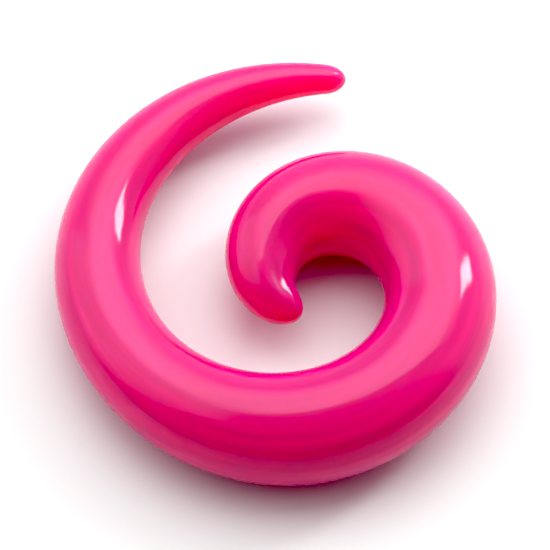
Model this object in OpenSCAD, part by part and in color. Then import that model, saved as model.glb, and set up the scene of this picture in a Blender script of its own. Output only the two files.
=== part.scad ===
// Spiral ear taper: one solid rod of acrylic, bent into a flat coil of one and a half
// turns and lying on a table. It runs from a small rounded hook in the middle, through
// the thick coil that sits in the ear lobe, to a slim outer tip.

/* [Spiral] */
// Turn from the end of the hook to the outer tip, in degrees
turn = 540; // [480:5:560]
// Spread of the coil about its centre, as a share of the real one
spread = 1; // [1:0.05:1.3]

/* [Rod] */
// Gauge: the rod's thickest place
gauge = 12; // [8:0.5:12.5]
// Length of the hook's rounded end
hook_nose = 6.6; // [3:0.1:7]
// Length of the outer tip's rounded end
tip_nose = 2; // [1.2:0.1:5]

/* [Rest on the table] */
// Angle about X by which the coil leans, because its rod is thicker at the front
lean_x = -1.15; // [-3:0.05:3]
// Angle about Y by which the coil leans, because its outer arm is thinner
lean_y = -2.5; // [-5:0.05:5]

/* [Surface] */
// Number of flat sides round the rod
sides = 40; // [24:4:48]
// Number of steps along the rod
steps = 108; // [80:4:124]

/* [Hidden] */

// Direction in which the hook's end lies from the spiral's centre
start_angle = -100;

// The rod at equal steps of turn, from the hook's end to the outer tip: the distance of
// its middle from the spiral's centre, and its thickness before the ends are rounded
RADIUS = 0;
THICKNESS = 1;
rows = [
    // radius, thickness
    [4.5, 6.8],
    [4.8, 6.3],
    [5.1, 8],
    [6.3, 9.7],
    [8.6, 11.2],
    [11.3, 11.8],
    [14, 12],
    [16.4, 12],
    [19, 12],
    [21.1, 10.2],
    [23, 9.2],
    [24, 6.7],
    [24.7, 2.8]
];
last = len(rows) - 1;
// Gauge that the table's thicknesses belong to
table_gauge = 12;

// Row k of the table, carried straight on past both of its ends
function row(k) =
    k < 0 ? rows[0] + k * (rows[1] - rows[0]) :
    k > last ? rows[last] + (k - last) * (rows[last] - rows[last - 1]) :
    rows[k];

// Guide of the smooth curve at row k, pushed out so that the curve meets the row
function guide(k) = (8 * row(k) - row(k - 1) - row(k + 1)) / 6;

// Radius and thickness at a place along the spiral, from 0 at the hook to 1 at the tip:
// a cubic B-spline through the rows
function law(place) =
    let(
        x = place * last,
        k = max(0, min(last - 1, floor(x))),
        f = x - k
    )
    (pow(1 - f, 3) * guide(k - 1)
        + (3 * pow(f, 3) - 6 * pow(f, 2) + 4) * guide(k)
        + (-3 * pow(f, 3) + 3 * pow(f, 2) + 3 * f + 1) * guide(k + 1)
        + pow(f, 3) * guide(k + 2)) / 6;

// Middle of the rod at a place along the spiral, which runs clockwise seen from above
function middle(place) =
    let(
        angle = start_angle - turn * place,
        radius = spread * law(place)[RADIUS]
    )
    [radius * cos(angle), radius * sin(angle), 0];

// Direction of the rod at a place along the spiral
function heading(place) =
    let(
        reach = 0.001,
        ahead = middle(place + reach) - middle(place - reach)
    )
    ahead / norm(ahead);

// Share of the full thickness at a distance from the end, as a share of the nose
function rounding(share) = share >= 1 ? 1 : sqrt(1 - pow(1 - share, 2));

// Places of the rings, crowded towards both ends, and their distances along the rod
places = [for (i = [0 : steps]) (1 - cos(180 * i / steps)) / 2];
path = [for (place = places) middle(place)];
distances = [
    for (i = 0, run = 0; i <= steps;
        run = run + norm(path[min(i + 1, steps)] - path[i]), i = i + 1) run
];
rod_length = distances[steps];

// Half of the rod's thickness at ring i
function half_thickness(i) =
    law(places[i])[THICKNESS] / 2 * gauge / table_gauge
        * rounding(distances[i] / hook_nose)
        * rounding((rod_length - distances[i]) / tip_nose);

// Ring i: points round the rod, square to its direction
function ring(i) =
    let(
        ahead = heading(places[i]),
        aside = [ahead[1], -ahead[0], 0],
        r = half_thickness(i)
    )
    [for (j = [0 : sides - 1])
        path[i] + r * (cos(360 * j / sides) * aside + [0, 0, sin(360 * j / sides)])];

// A point after the coil has leant about X and then about Y
function leant(p) =
    let(
        y = p[1] * cos(lean_x) - p[2] * sin(lean_x),
        z = p[1] * sin(lean_x) + p[2] * cos(lean_x)
    )
    [p[0] * cos(lean_y) + z * sin(lean_y), y, z * cos(lean_y) - p[0] * sin(lean_y)];

// Points of the surface: the hook's end, every ring between, and the outer tip
surface = [
    leant(path[0]),
    for (i = [1 : steps - 1]) for (p = ring(i)) leant(p),
    leant(path[steps])
];
tip_point = len(surface) - 1;

// Where the table and the middle of the piece's outline lie
low = [for (axis = [0 : 2]) min([for (p = surface) p[axis]])];
high = [for (axis = [0 : 2]) max([for (p = surface) p[axis]])];
seat = [-(low[0] + high[0]) / 2, -(low[1] + high[1]) / 2, -low[2]];

// Number of point j of ring i
function corner(i, j) = 1 + (i - 1) * sides + j % sides;

hook_fan = [for (j = [0 : sides - 1]) [0, corner(1, j + 1), corner(1, j)]];
bands = [
    for (i = [1 : steps - 2]) for (j = [0 : sides - 1]) each [
        [corner(i, j), corner(i + 1, j + 1), corner(i + 1, j)],
        [corner(i, j), corner(i, j + 1), corner(i + 1, j + 1)]
    ]
];
tip_fan = [for (j = [0 : sides - 1]) [tip_point, corner(steps - 1, j), corner(steps - 1, j + 1)]];

// The bent rod, from the end of its hook to its outer tip
module spiral_taper() {
    color("#f0286f")
        translate(seat)
            polyhedron(points = surface, faces = concat(hook_fan, bands, tip_fan), convexity = 8);
}

spiral_taper();
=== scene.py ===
import math

import bmesh
import bpy
from mathutils import Matrix, Vector, noise


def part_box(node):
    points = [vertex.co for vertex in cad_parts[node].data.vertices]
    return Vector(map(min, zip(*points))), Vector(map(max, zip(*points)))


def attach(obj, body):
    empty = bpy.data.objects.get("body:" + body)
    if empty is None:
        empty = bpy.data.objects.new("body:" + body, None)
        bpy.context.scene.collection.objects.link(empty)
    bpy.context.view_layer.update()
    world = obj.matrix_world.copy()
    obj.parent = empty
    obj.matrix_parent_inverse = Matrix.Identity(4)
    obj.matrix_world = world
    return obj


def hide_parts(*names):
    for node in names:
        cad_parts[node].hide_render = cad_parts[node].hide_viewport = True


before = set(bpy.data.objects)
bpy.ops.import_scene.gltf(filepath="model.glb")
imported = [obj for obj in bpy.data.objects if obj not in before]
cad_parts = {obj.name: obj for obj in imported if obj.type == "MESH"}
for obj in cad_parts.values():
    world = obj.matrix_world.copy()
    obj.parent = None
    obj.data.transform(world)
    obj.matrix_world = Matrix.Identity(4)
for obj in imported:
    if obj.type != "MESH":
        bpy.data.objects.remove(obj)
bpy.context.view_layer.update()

mm = 0.001
scene = bpy.context.scene


# small helpers
def hexColour(text):
    # sRGB hex to the linear colour that the shaders read, with a full alpha
    parts = [int(text[i:i + 2], 16) / 255 for i in (1, 3, 5)]
    return [c / 12.92 if c <= 0.04045 else ((c + 0.055) / 1.055) ** 2.4 for c in parts] + [1]


def addNode(tree, kind, settings=None, values=None, links=None):
    # one node, with its own settings, its sockets' values and what runs into it
    node = tree.nodes.new(kind)
    for name, value in (settings or {}).items():
        setattr(node, name, value)
    for socket, value in (values or {}).items():
        node.inputs[socket].default_value = value
    for socket, source in (links or {}).items():
        tree.links.new(source, node.inputs[socket])
    return node


def newMaterial(name):
    material = bpy.data.materials.new(name)
    material.use_nodes = True
    material.node_tree.nodes.clear()
    return material


def meshObject(name, bm, material):
    mesh = bpy.data.meshes.new(name)
    bm.to_mesh(mesh)
    bm.free()
    mesh.materials.append(material)
    piece = bpy.data.objects.new(name, mesh)
    scene.collection.objects.link(piece)
    return piece


# Hot-pink acrylic, a cast rod bent hot and buffed on a wheel: a hard wet gloss over a body
# that red light passes right through, so that shaded sides turn crimson instead of grey.
# Its streaks, lines and swirls are drawn coarser than real ones, which are too fine for the
# render to show.
acrylic = {
    "pink": "#e23887",
    "deepPink": "#c9317a",
    "ior": 1.49,
    "gloss": 0.5,
    "roughness": (0.063, 0.144),        # where the buffing was best, and where it was worst
    "scatterShare": 1.0,
    "scatterDepth": (1.0, 0.02, 0.05),  # green and blue light turn back close to the surface
    "scatterScale": 22 * mm,
    "streakLength": 40 * mm,
    "streakWidth": 1.8 * mm,
    "streakGrain": {"Detail": 3.0, "Roughness": 0.5, "Distortion": 0.3},
    "streakRange": (0.36, 0.62),        # the part of the noise between the two pinks
    "lineLength": 25 * mm,
    "lineWidth": 0.9 * mm,
    "lineGrain": {"Detail": 2.0, "Roughness": 0.4, "Distortion": 0.2},
    "lineDepth": 0.02 * mm,
    "swirlSize": 0.5 * mm,
    "swirlGrain": {"Detail": 4.0, "Roughness": 0.6},
    "swirlRange": (0.35, 0.75),         # the part of the noise between the two roughnesses
    "swirlDepth": 0.0006 * mm,
}


def noiseAlongRod(tree, length, width, grain):
    # noise in the rod as it was before it was bent, drawn out along it
    straight = addNode(tree, "ShaderNodeAttribute", {"attribute_name": "straightRod"})
    drawn = addNode(tree, "ShaderNodeMapping", values={
        "Scale": (1 / length, 1 / width, 1 / width),
    }, links={"Vector": straight.outputs["Vector"]})
    cloud = addNode(tree, "ShaderNodeTexNoise", values={"Scale": 1.0, **grain},
                    links={"Vector": drawn.outputs["Vector"]})
    return cloud.outputs["Fac"]


def makeAcrylic(look):
    material = newMaterial("cast_acrylic_buffed")
    tree = material.node_tree

    # pigment that was not stirred quite evenly, drawn out along the rod
    streaks = noiseAlongRod(tree, look["streakLength"], look["streakWidth"], look["streakGrain"])
    share = addNode(tree, "ShaderNodeMapRange", values={
        "From Min": look["streakRange"][0],
        "From Max": look["streakRange"][1],
    }, links={"Value": streaks})
    # numbers of the Mix node's colour sockets
    first, second, mixed = 6, 7, 2
    colour = addNode(tree, "ShaderNodeMix", {"data_type": "RGBA"}, {
        first: hexColour(look["deepPink"]),
        second: hexColour(look["pink"]),
    }, {"Factor": share.outputs["Result"]})

    # lines that drawing and bending left along it
    lines = noiseAlongRod(tree, look["lineLength"], look["lineWidth"], look["lineGrain"])
    lined = addNode(tree, "ShaderNodeBump", values={
        "Strength": 1.0,
        "Distance": look["lineDepth"],
    }, links={"Height": lines})

    # swirls that the buffing wheel left, which soften the gloss more in some places than others
    place = addNode(tree, "ShaderNodeTexCoord").outputs["Object"]
    swirls = addNode(tree, "ShaderNodeTexNoise", values={
        "Scale": 1 / look["swirlSize"], **look["swirlGrain"],
    }, links={"Vector": place})
    wear = addNode(tree, "ShaderNodeMapRange", values={
        "From Min": look["swirlRange"][0],
        "From Max": look["swirlRange"][1],
        "To Min": look["roughness"][0],
        "To Max": look["roughness"][1],
    }, links={"Value": swirls.outputs["Fac"]})
    buffed = addNode(tree, "ShaderNodeBump", values={
        "Strength": 1.0,
        "Distance": look["swirlDepth"],
    }, links={"Height": swirls.outputs["Fac"], "Normal": lined.outputs["Normal"]})

    shader = addNode(tree, "ShaderNodeBsdfPrincipled", values={
        "IOR": look["ior"],
        "Specular IOR Level": look["gloss"],
        "Subsurface Weight": look["scatterShare"],
        "Subsurface Radius": look["scatterDepth"],
        "Subsurface Scale": look["scatterScale"],
    }, links={
        "Base Color": colour.outputs[mixed],
        "Roughness": wear.outputs["Result"],
        "Normal": buffed.outputs["Normal"],
    })
    addNode(tree, "ShaderNodeOutputMaterial", links={"Surface": shader.outputs["BSDF"]})
    return material


# The taper: a round rod swept along a flat spiral, from its inner hook to its outer tip
taper = {
    "turn": 540,                # degrees from the hook's end to the outer tip
    "startAngle": -100,         # direction of the hook's end from the spiral's centre
    "leanX": -1.15,             # how the coil leans as it lies, in degrees
    "leanY": -2.5,
    "hookNose": 6.6 * mm,       # lengths of the two rounded ends
    "tipNose": 2 * mm,
    # radius of the path and thickness of the rod, in mm, at equal steps of turn
    "rows": [
        (4.5, 6.8),
        (4.8, 6.3),
        (5.1, 8),
        (6.3, 9.7),
        (8.6, 11.2),
        (11.3, 11.8),
        (14, 12),
        (16.4, 12),
        (19, 12),
        (21.1, 10.2),
        (23, 9.2),
        (24, 6.7),
        (24.7, 2.8),
    ],
    "sides": 144,
    "rings": 300,
    "ridgeLength": 30 * mm,     # drawing left faint ridges along the rod
    "ridgeWidth": 1.9 * mm,
    "ridgeHeight": 0.045 * mm,
}


def rowAt(rows, k):
    # row k, carried straight on past both ends
    last = len(rows) - 1
    if k < 0:
        return Vector(rows[0]) + (Vector(rows[1]) - Vector(rows[0])) * k
    if k > last:
        return Vector(rows[last]) + (Vector(rows[last]) - Vector(rows[last - 1])) * (k - last)
    return Vector(rows[k])


def lawAt(rows, share):
    # radius and thickness, in metres, at a share of the way: a cubic B-spline through the rows
    last = len(rows) - 1
    k = max(0, min(last - 1, math.floor(share * last)))
    f = share * last - k

    def guide(n):
        return (rowAt(rows, n) * 8 - rowAt(rows, n - 1) - rowAt(rows, n + 1)) / 6

    value = (
        guide(k - 1) * (1 - f) ** 3
        + guide(k) * (3 * f ** 3 - 6 * f ** 2 + 4)
        + guide(k + 1) * (-3 * f ** 3 + 3 * f ** 2 + 3 * f + 1)
        + guide(k + 2) * f ** 3
    )
    return value / 6 * mm


def middleAt(shape, share):
    angle = math.radians(shape["startAngle"] - shape["turn"] * share)
    radius = lawAt(shape["rows"], share)[0]
    return Vector((math.cos(angle), math.sin(angle), 0)) * radius


def rounding(distance, nose):
    # share of the full thickness at a distance from a rounded end
    share = min(1, distance / nose)
    return math.sqrt(1 - (1 - share) ** 2)


def makeTaper(shape, material):
    bm = bmesh.new()
    straight = bm.verts.layers.float_vector.new("straightRod")

    # places of the rings, crowded towards both ends, and how far along the rod they lie
    count = shape["rings"]
    shares = [(1 - math.cos(math.pi * i / count)) / 2 for i in range(count + 1)]
    path = [middleAt(shape, share) for share in shares]
    runs = [0]
    for here, there in zip(path, path[1:]):
        runs.append(runs[-1] + (there - here).length)

    # one circle for each ring, square to the path
    loops = []
    reach = 0.001
    pinhead = 0.001 * mm
    upright = Vector((0, 0, 1))
    for share, middle, run in zip(shares, path, runs):
        ahead = (middleAt(shape, share + reach) - middleAt(shape, share - reach)).normalized()
        turned = Matrix((ahead.cross(upright), upright, ahead)).transposed().to_4x4()
        thick = lawAt(shape["rows"], share)[1] * rounding(run, shape["hookNose"])
        thick *= rounding(runs[-1] - run, shape["tipNose"])
        loop = bmesh.ops.create_circle(
            bm,
            segments=shape["sides"],
            radius=max(thick / 2, pinhead),
            matrix=Matrix.Translation(middle) @ turned,
        )["verts"]
        loops.append(loop)
        # where each point was in the rod before it was bent: along it, and across it
        for vert in loop:
            across = turned.inverted() @ (vert.co - middle)
            vert[straight] = (run, across.x, across.y)

    # the skin between them, closed to a point at each end
    edges = [list({edge for vert in loop for edge in vert.link_edges}) for loop in loops]
    for near, far in zip(edges, edges[1:]):
        bmesh.ops.bridge_loops(bm, edges=near + far)
    bmesh.ops.pointmerge(bm, verts=loops[0], merge_co=path[0])
    bmesh.ops.pointmerge(bm, verts=loops[-1], merge_co=path[-1])
    bmesh.ops.recalc_face_normals(bm, faces=bm.faces)

    # lean it as it lies, and set it where the solid is
    lean = Matrix.Rotation(math.radians(shape["leanY"]), 4, "Y")
    lean = lean @ Matrix.Rotation(math.radians(shape["leanX"]), 4, "X")
    bmesh.ops.transform(bm, matrix=lean, verts=bm.verts)
    low = Vector(min(vert.co[axis] for vert in bm.verts) for axis in range(3))
    high = Vector(max(vert.co[axis] for vert in bm.verts) for axis in range(3))
    cadLow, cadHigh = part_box("spiral_taper")
    seat = (cadLow + cadHigh - low - high) / 2
    seat.z = cadLow.z - low.z
    bmesh.ops.translate(bm, vec=seat, verts=bm.verts)

    # the faint ridges, which only ever take material away
    bm.normal_update()
    scale = Vector((1 / shape["ridgeLength"], 1 / shape["ridgeWidth"], 1 / shape["ridgeWidth"]))
    moved = []
    for vert in bm.verts:
        cut = (noise.noise(vert[straight] * scale) - 1) / 2
        moved.append(vert.co + vert.normal * cut * shape["ridgeHeight"])
    for vert, place in zip(bm.verts, moved):
        vert.co = place
    for face in bm.faces:
        face.smooth = True

    piece = meshObject("spiral_taper_polished", bm, material)
    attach(piece, "root")
    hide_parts("spiral_taper")
    return piece


piece = makeTaper(taper, makeAcrylic(acrylic))
print("taper swept,", len(piece.data.polygons), "faces")


# The table: smooth white laminate, so pale that it reads as plain white
floor = {
    "colour": "#f4f3f3",
    "roughness": 0.6,
    "gloss": 0.3,
    "side": 6.0,                # metres
    "drop": 0.02 * mm,          # the table's top lies this far under the taper
}


def makeFloor(look):
    material = newMaterial("white_laminate_matt")
    tree = material.node_tree
    shader = addNode(tree, "ShaderNodeBsdfPrincipled", values={
        "Base Color": hexColour(look["colour"]),
        "Roughness": look["roughness"],
        "Specular IOR Level": look["gloss"],
    })
    addNode(tree, "ShaderNodeOutputMaterial", links={"Surface": shader.outputs["BSDF"]})
    bm = bmesh.new()
    bmesh.ops.create_grid(bm, x_segments=1, y_segments=1, size=look["side"] / 2,
                          matrix=Matrix.Translation((0, 0, -look["drop"])))
    table = meshObject("table_top", bm, material)


makeFloor(floor)
print("table laid")


# The camera: where the photograph was taken from, turned and zoomed in on this one taper
camera = {
    "elevation": 66.5,          # the photograph's own viewing angle, in degrees
    "distance": 402.6 * mm,     # from the table under the photograph's middle
    "besideX": -10.9 * mm,      # the table under the photograph's middle, from the taper
    "besideY": -40.8 * mm,
    "focalPixels": 1550,        # its focal length, in pixels of the 550-pixel photograph
    "frameSide": 550,
    "aimPixel": (316, 130),     # the middle of this render, in the photograph's pixels
    "zoom": 2.5,
    "clipNear": 10 * mm,
    "clipFar": 20,              # metres
}


def makeCamera(shot):
    eye = bpy.data.cameras.new("camera")
    rig = bpy.data.objects.new("camera", eye)
    scene.collection.objects.link(rig)
    scene.camera = rig
    rise = math.radians(shot["elevation"])
    place = Vector((shot["besideX"], shot["besideY"], 0))
    place += Vector((0, -math.cos(rise), math.sin(rise))) * shot["distance"]
    half = shot["frameSide"] / 2
    ray = Vector((
        (shot["aimPixel"][0] - half) / shot["focalPixels"],
        (half - shot["aimPixel"][1]) / shot["focalPixels"],
        -1,
    ))
    level = Matrix.Rotation(math.pi / 2 - rise, 3, "X")
    aim = Vector((0, 0, -1)).rotation_difference(ray).to_matrix()
    rig.matrix_world = Matrix.Translation(place) @ (level @ aim).to_4x4()
    eye.lens = eye.sensor_width * shot["focalPixels"] * ray.length * shot["zoom"] / shot["frameSide"]
    eye.clip_start = shot["clipNear"]
    eye.clip_end = shot["clipFar"]


makeCamera(camera)


# The studio: soft boxes at the directions that the gloss of the taper mirrors them from, each
# one metre from the taper. azimuth is from straight behind it, to the right, and glow is the
# brightness in the middle. Towards the four sides, left, right, high and low, it sinks to edge
# over the share of the box that fade gives.
lights = {
    "overheadBox": {
        "azimuth": 10, "elevation": 57, "roll": 19, "width": 1.35, "height": 1.1,
        "glow": 2.05, "edge": 0.4, "fade": (0.3, 0.25, 0.05, 0.45),
    },
    "leftBox": {
        "azimuth": -80, "elevation": 40, "roll": 0, "width": 1.15, "height": 1.35,
        "glow": 0.95, "edge": 0.35, "fade": (0.08, 0.1, 0.15, 0.45),
    },
    "rightLamp": {
        "azimuth": 55, "elevation": 32, "roll": -8, "width": 0.17, "height": 0.44,
        "glow": 15, "edge": 4, "fade": (0.08, 0.08, 0.12, 0.12),
    },
}


def makeGlow(lamp, light):
    # the cloth over the box, brightest in its middle
    lamp.use_nodes = True
    tree = lamp.node_tree
    tree.nodes.clear()
    place = addNode(tree, "ShaderNodeNewGeometry").outputs["Parametric"]
    across = addNode(tree, "ShaderNodeSeparateXYZ", links={"Vector": place})
    left, right, high, low = light["fade"]
    glow = None
    for axis, edge, full in (("X", 1, 1 - left), ("X", 0, right), ("Y", 1, 1 - high), ("Y", 0, low)):
        side = addNode(tree, "ShaderNodeMapRange", {"interpolation_type": "SMOOTHSTEP"}, {
            "From Min": edge, "From Max": full,
        }, {"Value": across.outputs[axis]}).outputs["Result"]
        glow = side if glow is None else addNode(
            tree, "ShaderNodeMath", {"operation": "MULTIPLY"}, links={0: glow, 1: side},
        ).outputs["Value"]
    glow = addNode(tree, "ShaderNodeMapRange", values={
        "To Min": light["edge"] / light["glow"],
    }, links={"Value": glow})
    shine = addNode(tree, "ShaderNodeEmission", links={"Strength": glow.outputs["Result"]})
    addNode(tree, "ShaderNodeOutputLight", links={"Surface": shine.outputs["Emission"]})


def makeLight(name, light):
    lamp = bpy.data.lights.new(name, "AREA")
    lamp.shape = "RECTANGLE"
    lamp.size = light["width"]
    lamp.size_y = light["height"]
    lamp.energy = light["glow"] * math.pi * light["width"] * light["height"]
    makeGlow(lamp, light)

    holder = bpy.data.objects.new(name, lamp)
    scene.collection.objects.link(holder)
    azimuth = math.radians(light["azimuth"])
    rise = math.radians(light["elevation"])
    away = Vector((
        math.sin(azimuth) * math.cos(rise),
        math.cos(azimuth) * math.cos(rise),
        math.sin(rise),
    ))
    turned = away.to_track_quat("Z", "Y").to_matrix().to_4x4()
    turned = turned @ Matrix.Rotation(math.radians(light["roll"]), 4, "Z")
    holder.matrix_world = Matrix.Translation(away) @ turned
    holder.visible_camera = False


for name, light in lights.items():
    makeLight(name, light)


# White walls behind the taper and on both sides of it, and a dark room behind the camera.
# They turn bright and dark at these cosines of the angle from azimuth.
walls = {
    "azimuth": 5,
    "bright": 0.95,
    "dark": 0.01,
    "turnsDark": -0.45,
    "turnsBright": 0.05,
}


def makeWalls(look):
    studio = bpy.data.worlds.new("studio")
    studio.use_nodes = True
    tree = studio.node_tree
    tree.nodes.clear()
    direction = addNode(tree, "ShaderNodeTexCoord").outputs["Generated"]
    azimuth = math.radians(look["azimuth"])
    towards = addNode(tree, "ShaderNodeVectorMath", {"operation": "DOT_PRODUCT"}, {
        1: (math.sin(azimuth), math.cos(azimuth), 0),
    }, {0: direction})
    glow = addNode(tree, "ShaderNodeMapRange", {"interpolation_type": "SMOOTHSTEP"}, {
        "From Min": look["turnsDark"],
        "From Max": look["turnsBright"],
        "To Min": look["dark"],
        "To Max": look["bright"],
    }, {"Value": towards.outputs["Value"]})
    paint = addNode(tree, "ShaderNodeBackground", values={"Color": (1, 1, 1, 1)},
                    links={"Strength": glow.outputs["Result"]})
    addNode(tree, "ShaderNodeOutputWorld", links={"Surface": paint.outputs["Background"]})
    scene.world = studio


makeWalls(walls)

# This pink lies outside what a screen can show, so where it is shaded the photograph has no
# green left. Black points above zero in green and blue take them down in the same way.
blackPoints = (0, 0.055, 0.04)
scene.view_settings.view_transform = "Standard"
scene.view_settings.use_curve_mapping = True
scene.view_settings.curve_mapping.black_level = blackPoints
scene.view_settings.curve_mapping.update()
print("camera and studio set")
